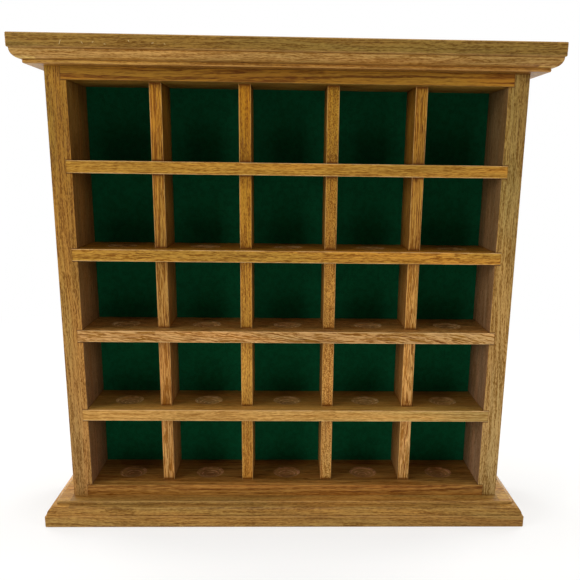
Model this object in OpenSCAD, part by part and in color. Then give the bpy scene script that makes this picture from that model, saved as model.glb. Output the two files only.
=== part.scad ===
// Golf ball display case: an open oak case of five rows of five cubbies, one ball to a cubby.
// Millimetres, +Z up, +Y to the back. The origin is under the middle of the base, on the surface it stands on.

/* [Cubbies] */
// Clear width of a cubby
cell_w = 47; // [44:0.5:60]
// Clear height of a cubby in the two top and two bottom rows
cell_h = 46.5; // [44:0.5:60]
// Clear height of a cubby in the middle row
middle_cell_h = 45; // [44:0.5:60]
// Depth of a cubby, from the front edges of the shelves to the lining
cell_d = 44; // [40:0.5:60]

/* [Boards] */
// Thickness of the two side boards
side_t = 12.7; // [10:0.1:18]
// Thickness of the four shelves
shelf_t = 7.6; // [6:0.1:10]
// Thickness of the four upright dividers
divider_t = 7.6; // [5:0.1:10]
// Thickness of the top and bottom panels
panel_t = 7.6; // [6:0.1:10]
// How far the dividers stand back behind the front edges of the shelves
divider_setback = 9.5; // [3:0.5:12]

/* [Cap and base] */
// Thickness of the cap and base boards
plank_t = 15.9; // [15:0.1:22]
// How far the cap and base reach past the case at the front and both ends
overhang = 15.9; // [10:0.1:25]
// Height of the square edge of their moulding
square_edge = 8; // [5:0.1:9]
// Step in from the square edge to the round of the moulding
bead_step = 1.2; // [0.5:0.1:2.5]
// Height of that step
bead_rise = 0.4; // [0:0.1:1]
// Radius of the round of the moulding
bead_r = 5.3; // [3:0.1:6]

/* [Back] */
// Thickness of the back board
back_t = 5; // [3:0.1:8]
// Thickness of the felt lining
lining_t = 1; // [0.5:0.1:2]
// Width of the rabbet that takes the back board in each side
rabbet_w = 6.4; // [4:0.1:8]
// Strip of the back board that the lining leaves bare at its edges
lining_margin = 1; // [0:0.5:3]

/* [Joints] */
// Depth of the grooves in the sides that take the shelves and panels
dado_depth = 3.5; // [2:0.1:5]
// Depth of the grooves in the panels that take the ends of the dividers
housing_depth = 2.5; // [1:0.1:4]
// Play between a board and the wall of its groove or notch
joint_gap = 0.1; // [0:0.05:0.3]

/* [Ball seats] */
// Diameter of the ball that a seat holds
ball_d = 42.7; // [40:0.1:44]
// Width of the round hollow that the ball rests in
seat_w = 19; // [12:0.5:22]
// Extra radius of the hollow over the ball
seat_play = 0.4; // [0:0.1:1]

/* [Fasteners] */
// Shank diameter of the wood screws in the base
screw_d = 3.5; // [3:0.1:4]
// Head diameter of the wood screws
screw_head_d = 7; // [6:0.1:8]
// Length of the wood screws
screw_l = 32; // [26:1:40]
// Distance of the end screws and nails from the front and back of the case
fastener_inset = 14; // [12:0.5:18]
// Diameter of the finish nails in the cap
nail_d = 1.6; // [1.2:0.1:2]
// Length of the finish nails
nail_l = 32; // [26:1:40]
// How deep the nail heads are set below the top of the cap
nail_set = 1; // [0.5:0.1:2]
// Shank diameter of the brads in the back
brad_d = 1.2; // [0.8:0.1:1.4]
// Head diameter of the brads
brad_head_d = 3; // [2:0.1:4]
// Length of the brads
brad_l = 14; // [11:0.5:20]

/* [Hidden] */

columns = 5;
rows = 5;
middle_row = 3;

cut = 1;                 // how far a cutting shape runs past the face it opens
hole_play = 0.05;        // radial play round a fastener
screw_head_h = 2.2;      // height of the cone under a screw head
recess_w = 3.6;          // cross recess of a screw
recess_slot = 0.8;
recess_depth = 1.4;
nail_head_d = 2.4;
nail_head_h = 0.8;
brad_head_h = 0.6;

// widths, from the left outer face to the right one
inner_w = columns * cell_w + (columns - 1) * divider_t;
case_w = inner_w + 2 * side_t;
plank_w = case_w + 2 * overhang;

// depths, from the front of the cap to the back board
case_d = cell_d + lining_t + back_t;
plank_d = case_d + overhang;
plank_front = -plank_d / 2;
case_front = plank_front + overhang;
divider_front = case_front + divider_setback;
lining_front = case_front + cell_d;
back_front = lining_front + lining_t;
case_back = case_front + case_d;
lap_y = (divider_front + lining_front) / 2;
seat_y = case_front + cell_d / 2;

// heights, from the surface that the base stands on
case_bottom = plank_t;
floor_z = case_bottom + panel_t;
function row_h(row) = row == middle_row ? middle_cell_h : cell_h;
function rows_below(row) = row >= rows ? 0 : row_h(row + 1) + shelf_t + rows_below(row + 1);
// floor and middle of a row, counted from the top row down
function row_floor(row) = floor_z + rows_below(row);
function row_middle(row) = row_floor(row) + row_h(row) / 2;
ceiling_z = row_floor(1) + row_h(1);
case_top = ceiling_z + panel_t;
case_h = case_top - case_bottom;
cap_top = case_top + plank_t;

// columns and dividers, counted from the left
function column_x(column) = -inner_w / 2 + cell_w / 2 + (column - 1) * (cell_w + divider_t);
function divider_x(divider) = -inner_w / 2 + divider * (cell_w + divider_t) - divider_t / 2;

shelf_l = inner_w + 2 * dado_depth;
bead_z = square_edge + bead_rise;
bead_in = bead_step + bead_r;
seat_r = ball_d / 2 + seat_play;
seat_rise = sqrt(pow(seat_r, 2) - pow(seat_w / 2, 2));
back_w = inner_w + 2 * rabbet_w;
// the middle of what the panels leave of a side's end
fastener_x = case_w / 2 - (side_t - dado_depth) / 2;
fastener_ys = [case_front + fastener_inset, case_back - fastener_inset];
side_brad_x = inner_w / 2 + rabbet_w / 2;

// A box from its lowest corner to its highest
module block(low, high) translate(low) cube(high - low);

// Section of the cap or base across its width, moulded at both ends
module width_section() {
    half = plank_w / 2;
    translate([-half, 0]) square([plank_w, square_edge]);
    translate([-half + bead_step, 0]) square([plank_w - 2 * bead_step, bead_z]);
    translate([-half + bead_in, 0]) square([plank_w - 2 * bead_in, plank_t]);
    for (end = [-1, 1]) translate([end * (half - bead_in), bead_z]) circle(bead_r, $fn = 64);
}

// Section of the cap or base across its depth, moulded at the front and square at the back
module depth_section() {
    translate([plank_front, 0]) square([plank_d, square_edge]);
    translate([plank_front + bead_step, 0]) square([plank_d - bead_step, bead_z]);
    translate([plank_front + bead_in, 0]) square([plank_d - bead_in, plank_t]);
    translate([plank_front + bead_in, bead_z]) circle(bead_r, $fn = 64);
}

// The cap or base with its square edge down; the moulding is mitred round the two front corners
module plank() {
    intersection() {
        rotate([90, 0, 0]) linear_extrude(plank_d, center = true) width_section();
        rotate([90, 0, 90]) linear_extrude(plank_w, center = true) depth_section();
    }
}

// Four places where a screw or nail enters the end of a side
module at_side_ends() {
    for (side = [-1, 1], y = fastener_ys) translate([side * fastener_x, y, 0]) children();
}

// A countersunk wood screw, pointing up from the underside of its head
module screw(play = 0) {
    cylinder(h = screw_head_h, d1 = screw_head_d + 2 * play, d2 = screw_d + 2 * play, $fn = 48);
    cylinder(h = screw_l - screw_d, r = screw_d / 2 + play, $fn = 48);
    translate([0, 0, screw_l - screw_d])
        cylinder(h = screw_d, d1 = screw_d + 2 * play, d2 = screw_d / 4 + 2 * play, $fn = 48);
}

module cross_recess() {
    for (turn = [0, 90]) rotate(turn)
        translate([-recess_w / 2, -recess_slot / 2, -cut]) cube([recess_w, recess_slot, recess_depth + cut]);
}

// A nail or brad, pointing down from the top of its head
module nail(shank_d, length, head_d, head_h, play = 0) {
    translate([0, 0, -head_h]) cylinder(h = head_h, r = head_d / 2 + play, $fn = 32);
    translate([0, 0, -length]) cylinder(h = length, r = shank_d / 2 + play, $fn = 32);
}

module cap_nail(play = 0) nail(nail_d, nail_l, nail_head_d, nail_head_h, play);

module at_cap_nails() at_side_ends() translate([0, 0, cap_top - nail_set]) children();

// Brads through the back: one a row into each side, and three into each panel
module at_brads() {
    for (row = [1:rows], side = [-1, 1])
        translate([side * side_brad_x, case_back, row_middle(row)]) rotate([-90, 0, 0]) children();
    for (column = [1:2:columns], z = [case_bottom + panel_t / 2, case_top - panel_t / 2])
        translate([column_x(column), case_back, z]) rotate([-90, 0, 0]) children();
}

module brad(play = 0) nail(brad_d, brad_l, brad_head_d, brad_head_h, play);

// One round hollow in each cubby of a row, cut into a floor at height z
module ball_seats(z) {
    for (column = [1:columns])
        translate([column_x(column), seat_y, z + seat_rise]) sphere(seat_r, $fn = 96);
}

// The grooves for the divider ends, cut from height low to height high and open at the back
module divider_housings(low, high) {
    half = divider_t / 2 + joint_gap;
    for (divider = [1:columns - 1])
        block([divider_x(divider) - half, divider_front - joint_gap, low],
              [divider_x(divider) + half, lining_front + cut, high]);
}

module base_board() {
    color("#a9743b") difference() {
        plank();
        at_side_ends() screw(hole_play);
        at_side_ends() translate([0, 0, -cut]) cylinder(h = cut + hole_play, d = screw_head_d + 2 * hole_play, $fn = 48);
    }
}

module cap_board() {
    color("#b27f42") difference() {
        translate([0, 0, cap_top]) mirror([0, 0, 1]) plank();
        at_cap_nails() cap_nail(hole_play);
        at_cap_nails() cylinder(h = nail_set + cut, r = nail_head_d / 2 + hole_play, $fn = 32);
    }
}

// The left side; the right one is its mirror image
module side() {
    inner = -inner_w / 2;
    groove = inner - dado_depth;
    difference() {
        block([-case_w / 2, case_front, case_bottom], [inner, case_back, case_top]);
        for (row = [1:rows - 1])
            block([groove, case_front - cut, row_floor(row) - shelf_t - joint_gap],
                  [inner + cut, back_front + cut, row_floor(row) + joint_gap]);
        block([groove, case_front - cut, case_bottom - cut], [inner + cut, back_front + cut, floor_z + joint_gap]);
        block([groove, case_front - cut, ceiling_z - joint_gap], [inner + cut, back_front + cut, case_top + cut]);
        block([inner - rabbet_w, lining_front, case_bottom - cut], [inner + cut, case_back + cut, case_top + cut]);
        at_side_ends() screw(hole_play);
        at_cap_nails() cap_nail(hole_play);
        at_brads() brad(hole_play);
    }
}

module side_left() color("#a8753c") side();

module side_right() color("#a06c36") mirror([1, 0, 0]) side();

module bottom_panel() {
    color("#b07d44") difference() {
        block([-shelf_l / 2, case_front, case_bottom], [shelf_l / 2, lining_front, floor_z]);
        divider_housings(floor_z - housing_depth, floor_z + cut);
        ball_seats(floor_z);
        at_brads() brad(hole_play);
    }
}

module top_panel() {
    color("#ad7a40") difference() {
        block([-shelf_l / 2, case_front, ceiling_z], [shelf_l / 2, lining_front, case_top]);
        divider_housings(ceiling_z - cut, ceiling_z + housing_depth);
        at_brads() brad(hole_play);
    }
}

// A shelf, notched from behind for the dividers; shelf 1 is the top one
module shelf(number) {
    top = row_floor(number);
    half = divider_t / 2 + joint_gap;
    color("#b4824a") difference() {
        block([-shelf_l / 2, case_front, top - shelf_t], [shelf_l / 2, lining_front, top]);
        for (divider = [1:columns - 1])
            block([divider_x(divider) - half, lap_y, top - shelf_t - cut],
                  [divider_x(divider) + half, lining_front + cut, top + cut]);
        ball_seats(top);
    }
}

// A divider, notched from the front for the shelves; divider 1 is the left one
module divider(number) {
    half = divider_t / 2;
    x = divider_x(number);
    color("#b98850") difference() {
        block([x - half, divider_front, floor_z - housing_depth], [x + half, lining_front, ceiling_z + housing_depth]);
        for (row = [1:rows - 1])
            block([x - half - cut, divider_front - cut, row_floor(row) - shelf_t - joint_gap],
                  [x + half + cut, lap_y, row_floor(row) + joint_gap]);
    }
}

module back_board() {
    half = back_w / 2 - joint_gap;
    color("#8a6a45") difference() {
        block([-half, back_front, case_bottom], [half, case_back, case_top]);
        at_brads() brad(hole_play);
        at_brads() cylinder(h = cut, r = brad_head_d / 2 + hole_play, $fn = 32);
    }
}

module felt_lining() {
    half = back_w / 2 - lining_margin;
    color("#0d3b2a") difference() {
        block([-half, lining_front, case_bottom + lining_margin], [half, back_front, case_top - lining_margin]);
        at_brads() brad(hole_play);
    }
}

module base_screws() {
    color("silver") at_side_ends() difference() {
        screw();
        cross_recess();
    }
}

module cap_nails() color("gray") at_cap_nails() cap_nail();

module back_brads() color("silver") at_brads() brad();

base_board();
cap_board();
side_left();
side_right();
bottom_panel();
top_panel();
shelf(1);  // shelf_1
shelf(2);  // shelf_2
shelf(3);  // shelf_3
shelf(4);  // shelf_4
divider(1);  // divider_1
divider(2);  // divider_2
divider(3);  // divider_3
divider(4);  // divider_4
back_board();
felt_lining();
base_screws();
cap_nails();
back_brads();
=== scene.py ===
import math

import bmesh
import bpy
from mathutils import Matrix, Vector


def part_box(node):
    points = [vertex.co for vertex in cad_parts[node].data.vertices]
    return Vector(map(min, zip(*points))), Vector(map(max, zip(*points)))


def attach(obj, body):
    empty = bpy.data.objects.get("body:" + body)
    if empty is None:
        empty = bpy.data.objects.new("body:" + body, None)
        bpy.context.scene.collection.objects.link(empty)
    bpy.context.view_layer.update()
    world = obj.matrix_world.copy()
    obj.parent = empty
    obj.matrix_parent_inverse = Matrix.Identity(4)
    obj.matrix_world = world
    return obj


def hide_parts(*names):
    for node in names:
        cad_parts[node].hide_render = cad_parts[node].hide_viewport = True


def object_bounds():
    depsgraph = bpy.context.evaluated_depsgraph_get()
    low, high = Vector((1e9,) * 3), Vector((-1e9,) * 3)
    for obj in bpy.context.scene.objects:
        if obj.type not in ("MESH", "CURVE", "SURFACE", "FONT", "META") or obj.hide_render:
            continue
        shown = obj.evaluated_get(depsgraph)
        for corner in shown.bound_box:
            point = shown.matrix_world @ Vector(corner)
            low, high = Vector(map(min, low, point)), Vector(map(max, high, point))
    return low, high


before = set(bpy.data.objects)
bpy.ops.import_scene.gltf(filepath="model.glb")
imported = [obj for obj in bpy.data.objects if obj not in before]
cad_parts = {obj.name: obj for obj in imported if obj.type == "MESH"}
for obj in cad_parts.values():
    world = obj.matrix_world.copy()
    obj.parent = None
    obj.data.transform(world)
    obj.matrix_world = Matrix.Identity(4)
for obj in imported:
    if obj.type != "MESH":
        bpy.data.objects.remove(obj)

# Golf ball display case of golden oak. Metres, +Z up, +Y to the back, in the frame's own axes.
cadLow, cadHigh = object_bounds()
mm = 0.001
print("frame loaded:", len(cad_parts), "nodes")


# Node helpers

def colour(text):
    # "#rrggbb" as it looks on screen, to the linear colour that a socket takes
    parts = [int(text[i:i + 2], 16) / 255 for i in (1, 3, 5)]
    linear = [c / 12.92 if c <= 0.04045 else ((c + 0.055) / 1.055) ** 2.4 for c in parts]
    return (*linear, 1)


def addNode(tree, kind, inputs=None, **settings):
    made = tree.nodes.new("ShaderNode" + kind)
    for name, value in settings.items():
        setattr(made, name, value)
    for socket, value in (inputs or {}).items():
        if isinstance(value, bpy.types.NodeSocket):
            tree.links.new(value, made.inputs[socket])
        else:
            made.inputs[socket].default_value = value
    return made


def calc(tree, operation, *values, clamp=False):
    made = addNode(tree, "Math", dict(enumerate(values)), operation=operation, use_clamp=clamp)
    return made.outputs[0]


def vectorCalc(tree, operation, *values):
    made = addNode(tree, "VectorMath", dict(enumerate(values)), operation=operation)
    return made.outputs["Value" if operation in ("LENGTH", "DOT_PRODUCT") else "Vector"]


def scaled(tree, vector, factor):
    made = addNode(tree, "VectorMath", {0: vector, "Scale": factor}, operation="SCALE")
    return made.outputs["Vector"]


def mixColour(tree, factor, first, second, blend="MIX"):
    made = addNode(tree, "Mix", {0: factor, 6: first, 7: second}, data_type="RGBA", blend_type=blend)
    return made.outputs[2]


def ramp(tree, value, low, high, toLow=0.0, toHigh=1.0):
    given = {"Value": value, "From Min": low, "From Max": high, "To Min": toLow, "To Max": toHigh}
    return addNode(tree, "MapRange", given, interpolation_type="SMOOTHSTEP").outputs["Result"]


def noiseOf(tree, vector, stretch, detail=2.0, roughness=0.5, output=0):
    stretched = vectorCalc(tree, "MULTIPLY", vector, stretch)
    given = {"Vector": stretched, "Scale": 1.0, "Detail": detail, "Roughness": roughness}
    return addNode(tree, "TexNoise", given).outputs[output]


def newGroup(name, inputs, outputs):
    tree = bpy.data.node_groups.new(name, "ShaderNodeTree")
    for label, kind, value in inputs:
        socket = tree.interface.new_socket(label, in_out="INPUT", socket_type="NodeSocket" + kind)
        if value is not None:
            socket.default_value = value
    for label, kind in outputs:
        tree.interface.new_socket(label, in_out="OUTPUT", socket_type="NodeSocket" + kind)
    given = tree.nodes.new("NodeGroupInput").outputs
    result = tree.nodes.new("NodeGroupOutput").inputs
    return tree, given, result


def useGroup(tree, name, inputs):
    return addNode(tree, "Group", inputs, node_tree=bpy.data.node_groups[name]).outputs


def newMaterial(name, **constants):
    # in a constant's name _ stands for the space in the shader's socket
    material = bpy.data.materials.new(name)
    material.use_nodes = True
    tree = material.node_tree
    shader = tree.nodes["Principled BSDF"]
    for socket, value in constants.items():
        shader.inputs[socket.replace("_", " ")].default_value = value
    return material, tree, shader


def link(tree, output, shader, socket):
    tree.links.new(output, shader.inputs[socket])


# Shared effects

figure = {
    # how many turns of noise a millimetre holds, along the grain and both ways across it
    "sway": (0.007, 0.02, 0.02), "ripple": (0.05, 0.2, 0.2), "curl": (0.16, 0.22, 0.22),
    "fibre": (0.1, 3.2, 3.2), "patch": (0.006, 0.04, 0.04), "hue": (0.008, 0.12, 0.12),
    # the same across the grain alone, for the flecks and the pores
    "fleckRise": 2.2, "poreRise": 1.8,
    "rippleReach": 1.3,  # mm
    # the dark early wood begins at this share of a ring, and has faded out at this share of the next
    "earlyBegins": 0.88, "earlyEnds": 0.6,
    # how dark the faintest ring is beside the darkest
    "faintestRing": 0.35,
    # share of the dark colour between lines, flecks and rings
    "plain": 0.35,
    # from this height of the noise to that one a line or a fleck grows dark, or a pore opens
    "streakEdges": (0.4, 0.6), "poreEdges": (0.54, 0.63), "poresInLateWood": 0.4,
    # brightness factors of dark and pale places, and colour factors of warm and cool ones
    "patchFactors": (0.85, 1.15), "warm": (1.05, 0.98, 0.92, 1), "cool": (0.95, 1.02, 1.08, 1),
    # roughness of the fibres, and what a pore adds to it
    "roughness": (0.34, 0.44), "poreRoughness": 0.2,
    # heights of the bump, in mm
    "fibreHeight": 0.02, "ringDepth": 0.015, "poreDepth": 0.08,
}


def buildOakGrain():
    # Growth rings round a pith along X, long fibre lines, short flecks and open pores;
    # Place is in metres with the grain along X, and a run is how many turns a millimetre of it holds
    tree, given, result = newGroup(
        "oakGrain",
        [("Place", "Vector", None), ("Light", "Color", None), ("Dark", "Color", None),
         ("Pore", "Color", None), ("Ring Spacing", "Float", 2.6), ("Rings", "Float", 0.4),
         ("Line Run", "Float", 0.03), ("Line Rise", "Float", 1.2), ("Lines", "Float", 0.8),
         ("Fleck Run", "Float", 0.35), ("Flecks", "Float", 0.6), ("Pore Run", "Float", 0.15),
         ("Pores", "Float", 0.6), ("Sway", "Float", 9.0), ("Curl", "Float", 1.0)],
        [("Color", "Color"), ("Rings", "Float"), ("Roughness", "Float"), ("Height", "Float")])
    inMm = scaled(tree, given["Place"], 1 / mm)
    acrossGrain = (0.0, 1.0, 1.0)
    # the trunk isn't straight: the rings sway over centimetres, and ripple and curl over millimetres
    bends = [
        (figure["sway"], given["Sway"]), (figure["ripple"], figure["rippleReach"]),
        (figure["curl"], given["Curl"])]
    bent = inMm
    for turns, reach in bends:
        push = vectorCalc(tree, "SUBTRACT", noiseOf(tree, inMm, turns, 1.0, output=1), (0.5, 0.5, 0.5))
        push = scaled(tree, vectorCalc(tree, "MULTIPLY", push, acrossGrain), reach)
        bent = vectorCalc(tree, "ADD", bent, push)
    radius = vectorCalc(tree, "LENGTH", vectorCalc(tree, "MULTIPLY", bent, acrossGrain))
    rings = calc(tree, "DIVIDE", radius, given["Ring Spacing"])
    phase = calc(tree, "FRACT", rings)
    ringNumber = calc(tree, "FLOOR", rings)
    thisRing = addNode(tree, "TexWhiteNoise", {"W": ringNumber}, noise_dimensions="1D").outputs["Value"]
    fading = ramp(tree, phase, figure["earlyEnds"], 0.0)
    early = calc(tree, "MAXIMUM", fading, ramp(tree, phase, figure["earlyBegins"], 1.0))
    ringMask = calc(tree, "MULTIPLY", early, ramp(tree, thisRing, 0.0, 1.0, figure["faintestRing"], 1.0))

    def streaks(run, rise):
        # noise drawn out along the grain
        turns = addNode(tree, "CombineXYZ", {0: run, 1: rise, 2: rise}).outputs[0]
        return noiseOf(tree, bent, turns, 1.0, 0.6)

    lines = streaks(given["Line Run"], given["Line Rise"])
    lines = ramp(tree, lines, *figure["streakEdges"], -0.5, 0.5)
    flecks = streaks(given["Fleck Run"], figure["fleckRise"])
    flecks = ramp(tree, flecks, *figure["streakEdges"], -0.5, 0.5)
    fibre = noiseOf(tree, bent, figure["fibre"])
    darker = calc(tree, "MULTIPLY", ringMask, given["Rings"])
    darker = calc(tree, "ADD", darker, calc(tree, "MULTIPLY", lines, given["Lines"]))
    darker = calc(tree, "ADD", darker, calc(tree, "MULTIPLY", flecks, given["Flecks"]))
    darker = calc(tree, "ADD", darker, figure["plain"], clamp=True)
    wood = mixColour(tree, darker, given["Light"], given["Dark"])
    # open pores: short dark dashes, thickest in the early wood
    pores = ramp(tree, streaks(given["Pore Run"], figure["poreRise"]), *figure["poreEdges"])
    pores = calc(tree, "MULTIPLY", pores, ramp(tree, ringMask, 0.0, 0.7, figure["poresInLateWood"], 1.0))
    wood = mixColour(tree, calc(tree, "MULTIPLY", pores, given["Pores"]), wood, given["Pore"])
    # a board is lighter in some places than in others, and redder in some than in others
    patch = noiseOf(tree, inMm, figure["patch"])
    wood = scaled(tree, wood, ramp(tree, patch, 0.3, 0.7, *figure["patchFactors"]))
    hue = ramp(tree, noiseOf(tree, bent, figure["hue"]), 0.35, 0.65)
    hue = mixColour(tree, hue, figure["warm"], figure["cool"])
    tree.links.new(mixColour(tree, 1.0, wood, hue, blend="MULTIPLY"), result["Color"])
    tree.links.new(ringMask, result["Rings"])
    rough = calc(tree, "MULTIPLY", pores, figure["poreRoughness"])
    rough = calc(tree, "ADD", rough, ramp(tree, fibre, 0.3, 0.7, *figure["roughness"]))
    tree.links.new(rough, result["Roughness"])
    dips = calc(tree, "MULTIPLY", pores, figure["poreDepth"])
    dips = calc(tree, "ADD", dips, calc(tree, "MULTIPLY", ringMask, figure["ringDepth"]))
    height = calc(tree, "SUBTRACT", calc(tree, "MULTIPLY", fibre, figure["fibreHeight"]), dips)
    tree.links.new(height, result["Height"])


rubbingAndHighlight = {
    # turns of noise in a millimetre, the heights of the noise between which it grows, and its least share
    "patchTurns": (0.09, 0.09, 0.09), "patchEdges": (0.35, 0.62), "least": 0.35,
}


def buildRubbedArrisAndHighlight():
    # Where hands and sandpaper reached an arris, the finish is thin and the wood pale; the pale arrises also
    # stand for light catching the edges, a painted highlight
    tree, given, result = newGroup(
        "rubbedArrisAndHighlight",
        [("Place", "Vector", None), ("Wood", "Color", None), ("Pale", "Color", None),
         ("Arris", "Float", 0.0), ("Amount", "Float", 0.6)],
        [("Color", "Color")])
    patches = noiseOf(tree, scaled(tree, given["Place"], 1 / mm), rubbingAndHighlight["patchTurns"], 3.0, 0.6)
    uneven = ramp(tree, patches, *rubbingAndHighlight["patchEdges"], rubbingAndHighlight["least"], 1.0)
    rubbedAndHighlight = calc(tree, "MULTIPLY", given["Arris"], uneven)
    rubbedAndHighlight = calc(tree, "MULTIPLY", rubbedAndHighlight, given["Amount"], clamp=True)
    tree.links.new(mixColour(tree, rubbedAndHighlight, given["Wood"], given["Pale"]), result["Color"])


turning = {
    "ringPitch": 2.5 * mm, "ringHeight": 0.03,  # the height in mm
    # where the seat ends, and where its rim begins and ends, as shares of its radius
    "seatEdge": (1.02, 0.97), "rimInner": (0.86, 0.97), "rimOuter": (1.06, 1.0),
    # turns of noise in a millimetre, and the heights of the noise from torn away to whole
    "tornTurns": (0.18, 0.3, 0.3), "tornEdges": (0.42, 0.6),
    # how much of the rim's painted highlight shows where the rings are torn away, and where they are whole
    "rimShows": (0.15, 0.9),
    # upward part of a normal at which a face begins to count, and counts fully
    "upward": (0.6, 0.8),
}


def buildBallSeat():
    # Turned rings left by the cutter in the ball seats, and a painted highlight round each seat's rim, one
    # seat to a cubby; Place is in metres
    tree, given, result = newGroup(
        "ballSeat",
        [("Place", "Vector", None), ("Pitch", "Float", 50 * mm), ("Seat Y", "Float", 0.0),
         ("Radius", "Float", 10 * mm)],
        [("Inside", "Float"), ("TurnedAndHighlight", "Float"), ("Height", "Float")])
    parts = addNode(tree, "SeparateXYZ", {0: given["Place"]}).outputs
    half = calc(tree, "MULTIPLY", given["Pitch"], 0.5)
    across = calc(tree, "FLOORED_MODULO", calc(tree, "ADD", parts[0], half), given["Pitch"])
    across = calc(tree, "SUBTRACT", across, half)
    away = calc(tree, "SUBTRACT", parts[1], given["Seat Y"])
    flat = addNode(tree, "CombineXYZ", {0: across, 1: away}).outputs[0]
    radius = vectorCalc(tree, "LENGTH", flat)
    upward = addNode(tree, "SeparateXYZ", {0: addNode(tree, "NewGeometry").outputs["Normal"]}).outputs[2]
    upward = ramp(tree, upward, *turning["upward"])
    share = calc(tree, "DIVIDE", radius, given["Radius"])
    inside = calc(tree, "MULTIPLY", ramp(tree, share, *turning["seatEdge"]), upward)
    # painted highlight: a pale ring round the edge of the seat, where light catches the rim
    rimHighlight = calc(
        tree, "MULTIPLY", ramp(tree, share, *turning["rimInner"]), ramp(tree, share, *turning["rimOuter"]))
    # the wood tore under the cutter: the rings are whole in some places and gone in others
    whole = noiseOf(tree, scaled(tree, given["Place"], 1 / mm), turning["tornTurns"], 2.0, 0.6)
    whole = ramp(tree, whole, *turning["tornEdges"])
    turned = calc(tree, "SINE", calc(tree, "MULTIPLY", radius, 2 * math.pi / turning["ringPitch"]))
    rings = calc(tree, "MULTIPLY", ramp(tree, turned, 0.3, 0.9), whole)
    rimHighlight = calc(tree, "MULTIPLY", rimHighlight, ramp(tree, whole, 0.0, 1.0, *turning["rimShows"]))
    marks = calc(tree, "MAXIMUM", rings, rimHighlight)
    height = calc(tree, "MULTIPLY", calc(tree, "MULTIPLY", turned, inside), turning["ringHeight"])
    tree.links.new(inside, result["Inside"])
    tree.links.new(calc(tree, "MULTIPLY", marks, inside), result["TurnedAndHighlight"])
    tree.links.new(height, result["Height"])


def buildSeamAndShade():
    # A thin dark line where two faces or two boards meet: partly a dark joint, partly painted shade in the
    # corner or recess
    tree, given, result = newGroup(
        "seamAndShade", [("Distance", "Float", 0.0), ("Level", "Float", 0.0), ("Width", "Float", 0.8 * mm)],
        [("Mask", "Float")])
    away = calc(tree, "ABSOLUTE", calc(tree, "SUBTRACT", given["Distance"], given["Level"]))
    tree.links.new(ramp(tree, calc(tree, "DIVIDE", away, given["Width"]), 1.0, 0.1), result["Mask"])


def buildNick():
    # One short straight scratch through the finish
    tree, given, result = newGroup(
        "nick",
        [("Place", "Vector", None), ("Centre", "Vector", None), ("Along", "Vector", None),
         ("Length", "Float", 2 * mm), ("Width", "Float", 0.2 * mm)],
        [("Mask", "Float")])
    off = vectorCalc(tree, "SUBTRACT", given["Place"], given["Centre"])
    run = vectorCalc(tree, "DOT_PRODUCT", off, given["Along"])
    half = calc(tree, "MULTIPLY", given["Length"], 0.5)
    run = calc(tree, "MINIMUM", calc(tree, "MAXIMUM", run, calc(tree, "MULTIPLY", half, -1.0)), half)
    onLine = scaled(tree, given["Along"], run)
    distance = vectorCalc(tree, "LENGTH", vectorCalc(tree, "SUBTRACT", off, onLine))
    tree.links.new(ramp(tree, calc(tree, "DIVIDE", distance, given["Width"]), 1.0, 0.3), result["Mask"])


buildOakGrain()
buildRubbedArrisAndHighlight()
buildBallSeat()
buildSeamAndShade()
buildNick()
print("shared effects built")


# Oak boards

arris = {
    "width": 0.45 * mm, "segments": 2, "attribute": "arris",
    # only edges at least this long are eased, where their faces turn at least this many degrees
    "shortest": 2.1 * mm, "leastTurn": 40,
    # cosine of the most that an edge may stray from its direction
    "parallel": 0.999,
}

# distance within which points are merged, and degrees within which faces are flat or smooth
cleaning = {"merge": 0.002 * mm, "flat": 0.5, "smooth": 30}


def mergedCopy(node):
    # a CAD node's mesh is loose triangles: its copy is merged, and its flat faces are joined up
    shape = bmesh.new()
    shape.from_mesh(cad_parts[node].data)
    bmesh.ops.remove_doubles(shape, verts=shape.verts, dist=cleaning["merge"])
    bmesh.ops.dissolve_limit(
        shape, angle_limit=math.radians(cleaning["flat"]), verts=shape.verts, edges=shape.edges)
    return shape


def easeArrises(shape, directions, width):
    # rounds the long outer edges that run along the given directions, and marks the rounded faces
    mark = shape.faces.layers.float.new(arris["attribute"])
    chosen = []
    for edge in shape.edges:
        if len(edge.link_faces) != 2 or edge.calc_length() < arris["shortest"]:
            continue
        if not edge.is_convex or edge.calc_face_angle() < math.radians(arris["leastTurn"]):
            continue
        run = (edge.verts[1].co - edge.verts[0].co).normalized()
        if any(abs(run.dot(Vector(d))) > arris["parallel"] for d in directions):
            chosen.append(edge)
    rounded = bmesh.ops.bevel(
        shape, geom=chosen, offset=width, offset_type="OFFSET", segments=arris["segments"], profile=0.5,
        affect="EDGES", clamp_overlap=True, material=-1)
    for face in rounded["faces"]:
        face[mark] = 1.0


def finishPiece(shape, name, material, replaced):
    bmesh.ops.recalc_face_normals(shape, faces=shape.faces)
    mesh = bpy.data.meshes.new(name)
    shape.to_mesh(mesh)
    shape.free()
    mesh.materials.clear()
    mesh.materials.append(material)
    mesh.polygons.foreach_set("material_index", [0] * len(mesh.polygons))
    mesh.polygons.foreach_set("use_smooth", [True] * len(mesh.polygons))
    mesh.set_sharp_from_angle(angle=math.radians(cleaning["smooth"]))
    piece = bpy.data.objects.new(name, mesh)
    bpy.context.scene.collection.objects.link(piece)
    flatten = piece.modifiers.new("flatFaces", "WEIGHTED_NORMAL")
    flatten.keep_sharp = True
    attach(piece, "root")
    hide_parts(replaced)
    return piece


def tone(tree, wood, mask, factors):
    # multiplies the wood by three factors where the mask is 1
    return mixColour(tree, mask, wood, mixColour(tree, 1.0, wood, (*factors, 1), blend="MULTIPLY"))


# half the width of the cubbies, and of the case over its sides
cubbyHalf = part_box("side_right")[0].x
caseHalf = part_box("side_right")[1].x

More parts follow.
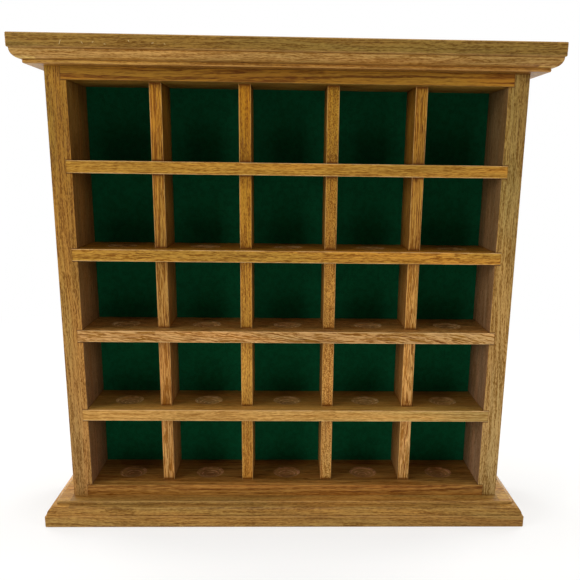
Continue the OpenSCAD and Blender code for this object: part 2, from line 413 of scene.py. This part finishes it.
zones = {
    # a face counts as looking along an axis where its normal does: not at all up to the first value of
    # the normal along that axis, and fully from the second
    "facing": (0.75, 0.95),
    # the moulding's bands are gone where a normal has the first value to the back, and whole at the second
    "plainBack": (0.6, 0.3),
    # where these places begin and are whole, out from the middle of the case
    "pastSides": (caseHalf + 0.2 * mm, caseHalf + 1.2 * mm),
    "inCubbies": (cubbyHalf + 1.5 * mm, cubbyHalf + 0.5 * mm),
    # a seam fades out over this length
    "seamEnd": 0.3 * mm,
    # end grain drinks more stain, and shows the rings as arcs
    "endGrain": (0.74, 0.66, 0.52), "endArcs": 0.6,
    # how much of its pale colour a ball seat has all over, and along its turned rings and its rim's painted
    # highlight
    "seatInside": 0.13, "seatTurnedAndHighlight": 0.7,
}


def oakMaterial(name, node, look, cutFrom, tintsAndShade=None, seats=None, nicks=(), seams=()):
    # look has the kind of board's own colours, and lean turns its grain by degrees about X, Y and Z;
    # cutFrom is where in the tree the board was cut, in metres; tintsAndShade are its colour factors at the
    # bottom and at the top, or at the left and at the right with tintAlong 0, partly its tone and partly
    # painted light and shade;
    # seams lists (axis, level, reach) of the dark lines where it meets its neighbours, partly dark joints and
    # partly painted shade in corners and recesses, with x and the reach taken from the middle outwards, and
    # seamWidth is half the width of such a line
    material, tree, shader = newMaterial(name, IOR=1.5, Specular_IOR_Level=0.15)
    low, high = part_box(node)
    here = addNode(tree, "TexCoord").outputs["Object"]
    parts = addNode(tree, "SeparateXYZ", {0: here}).outputs
    outward = calc(tree, "ABSOLUTE", parts[0])
    turn = (0.0, math.radians(90) if look["upright"] else 0.0, 0.0)
    placed = addNode(tree, "Mapping", {"Vector": here, "Location": cutFrom, "Rotation": turn}).outputs[0]
    lean = [math.radians(a) for a in look["lean"]]
    placed = addNode(tree, "Mapping", {"Vector": placed, "Rotation": lean}).outputs[0]
    grain = useGroup(tree, "oakGrain", {
        "Place": placed, "Light": colour(look["light"]), "Dark": colour(look["dark"]),
        "Pore": colour(look["pore"]), **look["grain"]})
    wood, height = grain["Color"], grain["Height"]
    # painted light and shade: the board grows lighter or darker from bottom to top, or from left to right,
    # partly its own tone
    if tintsAndShade:
        axis = look.get("tintAlong", 2)
        share = ramp(tree, parts[axis], low[axis], high[axis])
        tint = mixColour(tree, share, (*tintsAndShade[0], 1), (*tintsAndShade[1], 1))
        wood = mixColour(tree, 1.0, wood, tint, blend="MULTIPLY")
    facing = addNode(tree, "SeparateXYZ", {0: addNode(tree, "NewGeometry").outputs["Normal"]}).outputs
    if "bands" in look:
        # the moulding's bands go round the front and the ends, and not over the plain back; their factors are
        # partly the board's tone and partly painted light and shade on the moulding
        moulded = ramp(tree, facing[1], *zones["plainBack"])
        for fromTo, factors in look["bands"]:
            wood = tone(tree, wood, calc(tree, "MULTIPLY", moulded, ramp(tree, parts[2], *fromTo)), factors)
    # painted light: past the sides the cap's underside and the base's ledge are paler
    if "ends" in look:
        past = ramp(tree, outward, *zones["pastSides"])
        flat = ramp(tree, calc(tree, "MULTIPLY", facing[2], look["endsFacing"]), *zones["facing"])
        wood = tone(tree, wood, calc(tree, "MULTIPLY", past, flat), look["ends"])
    sideways = ramp(tree, calc(tree, "ABSOLUTE", facing[0]), *zones["facing"])
    if "wallShade" in look:
        # painted shade: inside the cubbies the faces that look sideways are darkened, for the shade in there
        within = ramp(tree, outward, *zones["inCubbies"])
        wood = tone(tree, wood, calc(tree, "MULTIPLY", sideways, within), look["wallShade"])
    # painted shade: flat faces that look up or down get their own colour factors, for the light that falls on
    # them
    if "flatFaceShade" in look:
        flat = ramp(tree, calc(tree, "ABSOLUTE", facing[2]), *zones["facing"])
        wood = tone(tree, wood, flat, look["flatFaceShade"])
    if seats:
        # the cutter left rings in the seats, paler than the stained floor, and each rim has a painted
        # highlight
        seat = useGroup(tree, "ballSeat", {"Place": here, **seats})
        for mask, amount in ((seat["Inside"], zones["seatInside"]), (seat["TurnedAndHighlight"], zones["seatTurnedAndHighlight"])):
            wood = mixColour(tree, calc(tree, "MULTIPLY", mask, amount), wood, colour(look["seat"]))
        height = calc(tree, "ADD", height, seat["Height"])
    if not look["upright"]:
        wood = tone(tree, wood, sideways, zones["endGrain"])
        arcs = calc(tree, "MULTIPLY", calc(tree, "MULTIPLY", grain["Rings"], sideways), zones["endArcs"])
        wood = mixColour(tree, arcs, wood, colour(look["pore"]))
    distances = {"x": outward, "z": parts[2]}
    # painted shade: dark lines along joints, corners and the moulding's quirks, partly dark joints
    for axis, level, reach in seams:
        given = {"Distance": distances[axis], "Level": level, "Width": look["seamWidth"]}
        within = ramp(tree, outward, reach + zones["seamEnd"], reach, 0.0, look["seamAndShade"])
        mask = calc(tree, "MULTIPLY", useGroup(tree, "seamAndShade", given)["Mask"], within)
        wood = mixColour(tree, mask, wood, colour(look["pore"]))
    # painted highlight: the pale arrises are partly wear and partly light catching the edges
    edge = addNode(tree, "Attribute", attribute_name=arris["attribute"]).outputs["Fac"]
    wood = useGroup(tree, "rubbedArrisAndHighlight", {
        "Place": here, "Wood": wood, "Pale": colour(look["pale"]), "Arris": edge,
        "Amount": look["rubbedAndHighlight"]})["Color"]
    for centre, run, length in nicks:
        given = {"Place": here, "Centre": centre, "Along": Vector(run).normalized(), "Length": length}
        mask = calc(tree, "MULTIPLY", useGroup(tree, "nick", given)["Mask"], look["nickAmount"])
        wood = mixColour(tree, mask, wood, colour(look["nickColour"]))
    link(tree, wood, shader, "Base Color")
    link(tree, grain["Roughness"], shader, "Roughness")
    bump = addNode(tree, "Bump", {"Height": height, "Distance": mm, "Strength": 1.0})
    link(tree, bump.outputs[0], shader, "Normal")
    return material


def levelSeams(reach=None):
    # the lines along the undersides and the tops of all shelves and panels, out to reach or to their own ends
    lines = []
    for node in ("shelf_1", "shelf_2", "shelf_3", "shelf_4", "top_panel", "bottom_panel"):
        nodeLow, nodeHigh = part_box(node)
        end = nodeHigh.x if reach is None else reach
        lines += [("z", nodeLow.z, end), ("z", nodeHigh.z, end)]
    return lines


along = (1, 0, 0)
deep = (0, 1, 0)
up = (0, 0, 1)

cap = {
    "light": "#c29456", "dark": "#86581a", "pore": "#6a3c04", "pale": "#c6985a", "rubbedAndHighlight": 0.35,
    "grain": {
        "Ring Spacing": 2.9, "Rings": 0.25, "Line Run": 0.02, "Line Rise": 1.3, "Lines": 0.7,
        "Fleck Run": 0.35, "Flecks": 0.65, "Pore Run": 0.12, "Pores": 0.4, "Sway": 9.0, "Curl": 0.6},
    "upright": False, "lean": (0.0, 0.6, 0.8), "seamWidth": 0.7 * mm, "seamAndShade": 0.55, "arris": 0.8 * mm,
    "cutFrom": (0.31, 0.06, -0.17),
    # colour factors at the left end and the right end, the right end darker: partly tone, partly painted
    # shade
    "tintsAndShade": ((1.06, 1.12, 1.02), (0.94, 0.95, 0.82)), "tintAlong": 0,
    # the square edge is darker and more olive than the moulding under it, and the fillet yellower, partly the
    # board's tone and partly painted light and shade
    # on the moulding: where each band begins and is whole, down from the top in mm, and its colour factors
    "drops": [((8.4, 7.6), (0.58, 0.59, 0.42)), ((13.2, 14.0), (0.93, 0.85, 0.62))],
    # painted light: under the overhang, past the sides, the board is paler
    "ends": (1.65, 2.0, 2.2), "endsFacing": -1.0,
    # quirks of the moulding, down from the top, in mm; their dark lines are painted shade in the recesses
    "quirks": (8.2, 13.7),
    # small scratches on the front: middle, in from the left end and down from the top; direction; length;
    # in mm
    "nicks": [
        ((30.9, 5.1), (0.4, 1.0), 2.4), ((43.3, 5.2), (-0.8, 1.0), 1.1), ((49.5, 4.8), (0.8, 0.6), 0.8),
        ((56.2, 5.8), (0.9, -0.3), 0.7), ((69.8, 3.9), (0.6, -0.9), 1.0), ((83.3, 4.8), (1.0, 0.2), 1.1),
        ((90.1, 5.2), (0.9, -0.7), 0.7)],
    "nickColour": "#dcc593", "nickAmount": 0.75,
}
capLow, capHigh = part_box("cap_board")
cap["bands"] = [([capHigh.z - drop * mm for drop in drops], factors) for drops, factors in cap["drops"]]
nicks = []
for (inwards, drop), (dx, dz), length in cap["nicks"]:
    middle = (capLow.x + inwards * mm, capLow.y, capHigh.z - drop * mm)
    nicks.append((middle, (dx, 0.0, dz), length * mm))
capSeams = [("z", capHigh.z - drop * mm, capHigh.x) for drop in cap["quirks"]]
capSeams.append(("z", capLow.z, capHigh.x))
shape = mergedCopy("cap_board")
easeArrises(shape, (along, deep, up), cap["arris"])
oak = oakMaterial("oakCap", "cap_board", cap, cap["cutFrom"], cap["tintsAndShade"], nicks=nicks, seams=capSeams)
finishPiece(shape, "oakCap", oak, "cap_board")

base = {
    "light": "#a9824a", "dark": "#6d460e", "pore": "#512a04", "pale": "#ad864e", "rubbedAndHighlight": 0.35,
    "grain": {
        "Ring Spacing": 2.7, "Rings": 0.25, "Line Run": 0.025, "Line Rise": 1.3, "Lines": 0.55,
        "Fleck Run": 0.35, "Flecks": 0.55, "Pore Run": 0.12, "Pores": 0.35, "Sway": 9.0, "Curl": 0.8},
    "upright": False, "lean": (0.0, -0.7, -0.5), "seamWidth": 0.6 * mm, "seamAndShade": 0.12, "arris": 0.8 * mm,
    "cutFrom": (-0.44, 0.05, 0.12), "tintsAndShade": ((0.97, 0.94, 0.72), (0.97, 0.94, 0.72)),
    # painted light: the ledge is paler past the sides
    "ends": (1.6, 1.64, 1.62), "endsFacing": 1.0,
    # quirks of the moulding, up from the bottom, in mm; their dark lines are painted shade in the recesses
    "quirks": (8.2, 13.7),
}
baseSeams = [("z", rise * mm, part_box("base_board")[1].x) for rise in base["quirks"]]
shape = mergedCopy("base_board")
easeArrises(shape, (along, deep, up), base["arris"])
oak = oakMaterial("oakBase", "base_board", base, base["cutFrom"], base["tintsAndShade"], seams=baseSeams)
finishPiece(shape, "oakBase", oak, "base_board")

sides = {
    "light": "#b2884c", "dark": "#764c10", "pore": "#5a3004", "pale": "#b68c50", "rubbedAndHighlight": 0.4,
    "grain": {
        "Ring Spacing": 2.5, "Rings": 0.15, "Line Run": 0.025, "Line Rise": 1.5, "Lines": 0.85,
        "Fleck Run": 0.45, "Flecks": 0.75, "Pore Run": 0.12, "Pores": 0.3, "Sway": 9.0, "Curl": 0.5},
    "upright": True, "lean": (0.0, 0.5, 0.4), "seamWidth": 1.0 * mm, "seamAndShade": 0.8,
    # painted shade on the side's inner face in the cubbies
    "wallShade": (0.59, 0.55, 0.88),
    # node: piece, place in the tree, colour factors at the bottom and the top, partly the board's tone and
    # partly painted light and shade
    "boards": {
        "side_left": ("oakSideLeft", (0.1, 0.07, 0.02), ((0.96, 0.91, 0.88), (0.83, 0.76, 0.31))),
        "side_right": ("oakSideRight", (-0.2, -0.09, 0.05), ((1.17, 1.29, 1.5), (0.74, 0.85, 0.74)))},
}
for node, (name, cutFrom, tintsAndShade) in sides["boards"].items():
    sideLow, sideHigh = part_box(node)
    # the ends of the board, and the grooves that hold the shelves and show at the front; along the shelves
    # the dark lines are also painted shade in the corners of the cubbies
    sideSeams = [("z", sideLow.z, sideHigh.x), ("z", sideHigh.z, sideHigh.x)] + levelSeams()
    shape = mergedCopy(node)
    easeArrises(shape, (up,), arris["width"])
    oak = oakMaterial(name, node, sides, cutFrom, tintsAndShade=tintsAndShade, seams=sideSeams)
    finishPiece(shape, name, oak, node)
print("cap, base and sides made")

seats = {
    # one seat to a cubby, halfway from the shelf's front to the felt
    "Pitch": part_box("divider_2")[0].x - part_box("divider_1")[0].x,
    "Seat Y": (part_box("shelf_1")[0].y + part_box("felt_lining")[0].y) / 2,
    "Radius": 9.5 * mm,
}

panels = {
    "light": "#a4783a", "dark": "#683c04", "pore": "#4c2004", "pale": "#a87c3e", "rubbedAndHighlight": 0.4,
    "grain": {
        "Ring Spacing": 2.8, "Rings": 0.35, "Line Run": 0.012, "Line Rise": 0.6,
        "Fleck Run": 0.15, "Flecks": 0.55, "Pore Run": 0.08, "Pores": 0.4, "Sway": 9.0, "Curl": 0.5},
    "upright": False, "lean": (0.0, 0.9, 0.6), "seamWidth": 0.6 * mm, "seamAndShade": 0.6, "seat": "#e0a47a",
    # node: piece, place in the tree, colour factors, those of its flat face in the cubbies as painted light
    # and shade, lines, seats
    "boards": {
        "top_panel": (
            "oakTopPanel", (0.45, 0.03, 0.08), (1.02, 0.92, 0.38), (0.88, 1.06, 1.9), 0.9, None),
        "bottom_panel": (
            "oakBottomPanel", (0.9, -0.05, 0.1), (1.08, 0.96, 0.8), (0.91, 1.02, 1.25), 0.5, seats)},
}
for node, (name, cutFrom, tint, flatFaceShade, lines, cut) in panels["boards"].items():
    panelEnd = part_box(node)[1].x
    look = {**panels, "flatFaceShade": flatFaceShade, "grain": {**panels["grain"], "Lines": lines}}
    shape = mergedCopy(node)
    easeArrises(shape, (along,), arris["width"])
    oak = oakMaterial(
        name, node, look, cutFrom, tintsAndShade=(tint, tint), seats=cut, seams=[("x", panelEnd, panelEnd)])
    finishPiece(shape, name, oak, node)

shelves = {
    "light": "#c0904a", "dark": "#84540e", "pore": "#683804", "pale": "#dab27a", "rubbedAndHighlight": 0.75,
    "grain": {
        "Ring Spacing": 2.9, "Rings": 0.15, "Line Run": 0.025, "Line Rise": 1.3, "Lines": 0.55,
        "Fleck Run": 0.25, "Flecks": 0.6, "Pore Run": 0.12, "Pores": 0.35, "Sway": 9.0, "Curl": 0.8},
    "upright": False, "seamWidth": 0.6 * mm, "seamAndShade": 0.6, "seat": "#f2cc94",
    # painted shade: the shelves' tops are darker than their fronts
    "flatFaceShade": (0.84, 0.79, 0.63),
    # place in the tree, colour factors, lean of the grain, what else is special about it;
    # the grain of the third shelf runs out of the board at a slant
    "boards": [
        ((0.2, 0.03, 0.09), (1.03, 0.95, 0.53), 0.8, {}),
        ((0.75, -0.04, 0.11), (1.03, 0.96, 0.52), 0.8, {"Lines": 0.95, "Flecks": 1.0, "Pores": 0.5}),
        ((1.3, 0.06, 0.07), (1.15, 1.2, 1.7), -6.0, {
            "Line Run": 0.04, "Line Rise": 1.9, "Lines": 2.0, "Flecks": 1.1, "Pores": 1.0,
            "Sway": 16.0}),
        ((1.85, -0.02, 0.13), (1.03, 1.14, 1.3), 0.8, {
            "Line Run": 0.015, "Flecks": 0.45, "Lines": 0.45})],
}
for number, (cutFrom, tint, lean, ownGrain) in enumerate(shelves["boards"], 1):
    name, node = f"oakShelf{number}", f"shelf_{number}"
    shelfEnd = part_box(node)[1].x
    look = {**shelves, "lean": (0.0, lean, 0.5), "grain": {**shelves["grain"], **ownGrain}}
    shape = mergedCopy(node)
    easeArrises(shape, (along,), arris["width"])
    oak = oakMaterial(
        name, node, look, cutFrom, tintsAndShade=(tint, tint), seats=seats, seams=[("x", shelfEnd, shelfEnd)])
    finishPiece(shape, name, oak, node)

dividers = {
    "light": "#bc8c4a", "dark": "#80500e", "pore": "#643404", "pale": "#cea260", "rubbedAndHighlight": 0.6,
    "grain": {
        "Ring Spacing": 2.3, "Rings": 0.2, "Line Rise": 1.2, "Fleck Run": 0.5, "Flecks": 1.1,
        "Pore Run": 0.07, "Sway": 6.0, "Curl": 0.5},
    # the wide dark lines where the dividers meet the shelves are painted shade in those corners
    "upright": True, "lean": (0.0, 0.6, 0.9), "seamWidth": 2.2 * mm, "seamAndShade": 0.95,
    # painted shade on the divider's faces in the cubbies
    "wallShade": (0.55, 0.5, 0.5),
    # colour factors at the bottom and the top, lighter at the bottom: partly tone, partly painted light and
    # shade
    "tintsAndShade": ((1.22, 1.25, 1.48), (0.96, 0.89, 0.35)),
    # place in the tree, colour factors of the board, what else is special about its grain:
    # the outer two have long straight lines, the second is plain and the third is speckled
    "boards": [
        ((0.3, 0.05, 0.03), (0.94, 0.91, 0.86), {
            "Line Run": 0.02, "Line Rise": 1.9, "Lines": 2.2, "Fleck Run": 0.3, "Pores": 0.9,
            "Curl": 0.3}),
        ((0.8, 0.09, -0.04), (1.02, 0.92, 0.5), {
            "Line Run": 0.015, "Lines": 0.7, "Flecks": 0.8, "Pores": 0.4}),
        ((1.4, -0.03, 0.06), (1.03, 1.03, 0.9), {
            "Line Run": 0.08, "Line Rise": 1.8, "Lines": 0.9, "Fleck Run": 1.0, "Flecks": 1.6,
            "Pores": 0.6}),
        ((1.9, 0.04, 0.08), (1.06, 1.1, 1.2), {
            "Line Run": 0.02, "Line Rise": 1.9, "Lines": 2.0, "Fleck Run": 0.3, "Pores": 0.9,
            "Curl": 0.3})],
}
for number, (cutFrom, tint, ownGrain) in enumerate(dividers["boards"], 1):
    name, node = f"oakDivider{number}", f"divider_{number}"
    tintsAndShade = [[a * b for a, b in zip(factors, tint)] for factors in dividers["tintsAndShade"]]
    look = {**dividers, "grain": {**dividers["grain"], **ownGrain}}
    shape = mergedCopy(node)
    easeArrises(shape, (up,), arris["width"])
    oak = oakMaterial(name, node, look, cutFrom, tintsAndShade=tintsAndShade, seams=levelSeams(cubbyHalf))
    finishPiece(shape, name, oak, node)
print("panels, shelves and dividers made")


# Back board and felt

backBoard = {
    "light": "#b08d5e", "dark": "#8f6d42", "pore": "#6f5230", "pale": "#b99a6c", "rubbedAndHighlight": 0.2,
    "grain": {
        "Ring Spacing": 9.0, "Rings": 0.5, "Line Run": 0.03, "Line Rise": 0.8, "Lines": 0.4,
        "Fleck Run": 0.2, "Flecks": 0.3, "Pore Run": 0.12, "Pores": 0.35, "Sway": 9.0, "Curl": 1.5},
    "upright": True, "lean": (0.0, 1.2, 0.0), "cutFrom": (0.4, 0.3, 0.02), "arris": 0.2 * mm,
}
shape = mergedCopy("back_board")
easeArrises(shape, (along, up), backBoard["arris"])
oak = oakMaterial("plywoodBack", "back_board", backBoard, backBoard["cutFrom"])
finishPiece(shape, "plywoodBack", oak, "back_board")

felt = {
    "green": "#04693f", "shade": "#024a2a", "cell": 2.5 * mm,
    # turns of noise in a millimetre, and how much of the brighter green they bring
    "fibreTurns": (2.4, 2.4, 2.4), "fibres": 0.6, "tuftTurns": (0.35, 0.35, 0.35), "tufts": 0.4,
    "nap": 0.2 * mm,
    # colour factors at the bottom and the top: painted shade, the felt darker towards the top
    "tintsAndShade": ((1.0, 1.03, 1.05), (0.8, 0.78, 0.78)),
}
feltLow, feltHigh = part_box("felt_lining")


def feltMaterial():
    material, tree, shader = newMaterial(
        "greenFelt", Roughness=0.95, Specular_IOR_Level=0.1, Sheen_Weight=0.1, Sheen_Roughness=0.5)
    here = addNode(tree, "TexCoord").outputs["Object"]
    inMm = scaled(tree, here, 1 / mm)
    fibres = noiseOf(tree, inMm, felt["fibreTurns"], 4.0, 0.7)
    tufts = noiseOf(tree, inMm, felt["tuftTurns"], 3.0, 0.6)
    bright = ramp(tree, fibres, 0.35, 0.65, 0.0, felt["fibres"])
    bright = calc(tree, "ADD", bright, ramp(tree, tufts, 0.35, 0.65, 0.0, felt["tufts"]))
    green = mixColour(tree, bright, colour(felt["shade"]), colour(felt["green"]))
    # painted shade: the felt is darker towards the top
    share = ramp(tree, addNode(tree, "SeparateXYZ", {0: here}).outputs[2], feltLow.z, feltHigh.z)
    paintedShade = mixColour(tree, share, (*felt["tintsAndShade"][0], 1), (*felt["tintsAndShade"][1], 1))
    link(tree, mixColour(tree, 1.0, green, paintedShade, blend="MULTIPLY"), shader, "Base Color")
    bump = addNode(tree, "Bump", {"Height": fibres, "Distance": felt["nap"], "Strength": 0.6})
    link(tree, bump.outputs[0], shader, "Normal")
    return material


# a thin box, cut into cells of the cloth
width, depth, height = feltHigh - feltLow
shape = bmesh.new()
bmesh.ops.create_cube(shape, size=1.0)
bmesh.ops.scale(shape, vec=(width, depth, height), verts=shape.verts)
bmesh.ops.translate(shape, vec=(feltLow + feltHigh) / 2, verts=shape.verts)
for axis, size, normal in ((0, width, along), (2, height, up)):
    steps = round(size / felt["cell"])
    for step in range(1, steps):
        spot = feltLow.copy()
        spot[axis] += size * step / steps
        geometry = shape.verts[:] + shape.edges[:] + shape.faces[:]
        bmesh.ops.bisect_plane(shape, geom=geometry, plane_co=spot, plane_no=normal)
feltLining = finishPiece(shape, "feltLining", feltMaterial(), "felt_lining")
print("back board and felt made")


# Fasteners stay as the frame has them and get their metals

steel = {"mottleTurns": (1.5, 1.5, 1.5), "dullRoughness": 0.12, "mottleHeight": 0.05 * mm}


def steelMaterial(name, bright, dull, roughness):
    material, tree, shader = newMaterial(name, Metallic=1.0)
    here = addNode(tree, "TexCoord").outputs["Object"]
    mottle = noiseOf(tree, scaled(tree, here, 1 / mm), steel["mottleTurns"], 3.0, 0.6)
    metal = mixColour(tree, ramp(tree, mottle, 0.35, 0.65), colour(dull), colour(bright))
    link(tree, metal, shader, "Base Color")
    rough = ramp(tree, mottle, 0.3, 0.7, roughness + steel["dullRoughness"], roughness)
    link(tree, rough, shader, "Roughness")
    bump = addNode(tree, "Bump", {"Height": mottle, "Distance": steel["mottleHeight"], "Strength": 0.4})
    link(tree, bump.outputs[0], shader, "Normal")
    return material


fasteners = {
    # node: material, bright colour, dull colour, roughness
    "base_screws": ("zincScrew", "#d9d3c0", "#b9ad8c", 0.28),
    "cap_nails": ("blackenedNail", "#7d7f82", "#5b5d60", 0.45),
    "back_brads": ("brightBrad", "#c9cbcd", "#a3a6a9", 0.35),
}
for node, (name, bright, dull, roughness) in fasteners.items():
    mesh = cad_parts[node].data
    mesh.materials.clear()
    mesh.materials.append(steelMaterial(name, bright, dull, roughness))
print("fasteners finished")


# Studio: pale floor, white backdrop, soft lamps

studio = {
    "floorSize": 1.6, "floorColour": "#f2f1ee",
    # out from the case the floor turns white over these distances, from this share of white
    "whiteFrom": 0.2, "whiteTo": 0.75, "leastWhite": 0.6,
    "fill": 0.15,  # even light on the case from all round
    "lamps": [
        # name, place, width, height, watts
        ("lampLeft", (-1.52, -0.88, 0.53), 1.1, 0.8, 20.0),
        ("lampRight", (1.44, -1.01, 0.53), 0.8, 0.8, 8.6),
        ("lampTop", (0.0, -0.1, 1.8), 1.0, 0.6, 20.0),
        ("lampBackLeft", (-0.95, 0.75, 0.5), 0.7, 0.9, 10.0),
        ("lampBackRight", (0.95, 0.75, 0.5), 0.7, 0.9, 10.0),
    ],
}


def backgroundRays(tree):
    # rays that show the background: the camera's, and those of metal, glass and polish
    rays = addNode(tree, "LightPath").outputs
    direct = calc(tree, "ADD", rays["Is Camera Ray"], rays["Is Transmission Ray"], clamp=True)
    return calc(tree, "ADD", direct, rays["Is Glossy Ray"], clamp=True)


def buildFloor():
    shape = bmesh.new()
    bmesh.ops.create_grid(shape, x_segments=1, y_segments=1, size=studio["floorSize"] / 2)
    mesh = bpy.data.meshes.new("floor")
    shape.to_mesh(mesh)
    shape.free()
    floor = bpy.data.objects.new("floor", mesh)
    bpy.context.scene.collection.objects.link(floor)
    material, tree, shader = newMaterial(
        "paleFloor", Base_Color=colour(studio["floorColour"]), Roughness=0.9, Specular_IOR_Level=0.0)
    # the camera and shiny things see a floor that is nearly white, with the shadow kept near the object
    here = addNode(tree, "TexCoord").outputs["Object"]
    reach = vectorCalc(tree, "LENGTH", here)
    white = ramp(tree, reach, studio["whiteFrom"], studio["whiteTo"], studio["leastWhite"], 1.0)
    white = calc(tree, "MULTIPLY", backgroundRays(tree), white)
    glow = addNode(tree, "Emission", {"Color": (1, 1, 1, 1), "Strength": 1.0}).outputs[0]
    both = addNode(tree, "MixShader", {0: white, 1: shader.outputs[0], 2: glow}).outputs[0]
    tree.links.new(both, tree.nodes["Material Output"].inputs["Surface"])
    mesh.materials.append(material)


def buildWorld():
    world = bpy.data.worlds.new("studio")
    bpy.context.scene.world = world
    world.use_nodes = True
    tree = world.node_tree
    # a white backdrop to the camera and to reflections, and an even fill light to the rest
    strength = addNode(tree, "Mix", {0: backgroundRays(tree), 2: studio["fill"], 3: 1.0}).outputs[0]
    tree.links.new(strength, tree.nodes["Background"].inputs["Strength"])
    tree.nodes["Background"].inputs["Color"].default_value = (1, 1, 1, 1)


def buildLamps():
    target = (cadLow + cadHigh) / 2
    for name, spot, wide, tall, watts in studio["lamps"]:
        lamp = bpy.data.lights.new(name, "AREA")
        lamp.shape = "RECTANGLE"
        lamp.size = wide
        lamp.size_y = tall
        lamp.energy = watts
        holder = bpy.data.objects.new(name, lamp)
        holder.location = spot
        holder.rotation_euler = (target - Vector(spot)).to_track_quat("-Z", "Y").to_euler()
        bpy.context.scene.collection.objects.link(holder)


buildFloor()
buildWorld()
buildLamps()

view = {
    # the photograph's view, as its edges give it
    "place": (-0.0014, -0.4767, 0.2386), "turn": (75.71, -0.75, -1.55),  # degrees
    "lens": 44.91, "sensor": 36.0, "shift": (-0.0289, 0.0988),
}
camera = bpy.data.cameras.new("camera")
camera.lens = view["lens"]
camera.sensor_width = view["sensor"]
camera.shift_x, camera.shift_y = view["shift"]
cameraObject = bpy.data.objects.new("camera", camera)
cameraObject.location = view["place"]
cameraObject.rotation_euler = [math.radians(a) for a in view["turn"]]
bpy.context.scene.collection.objects.link(cameraObject)
bpy.context.scene.camera = cameraObject
bpy.context.scene.view_settings.view_transform = "Standard"
print("studio and camera set")
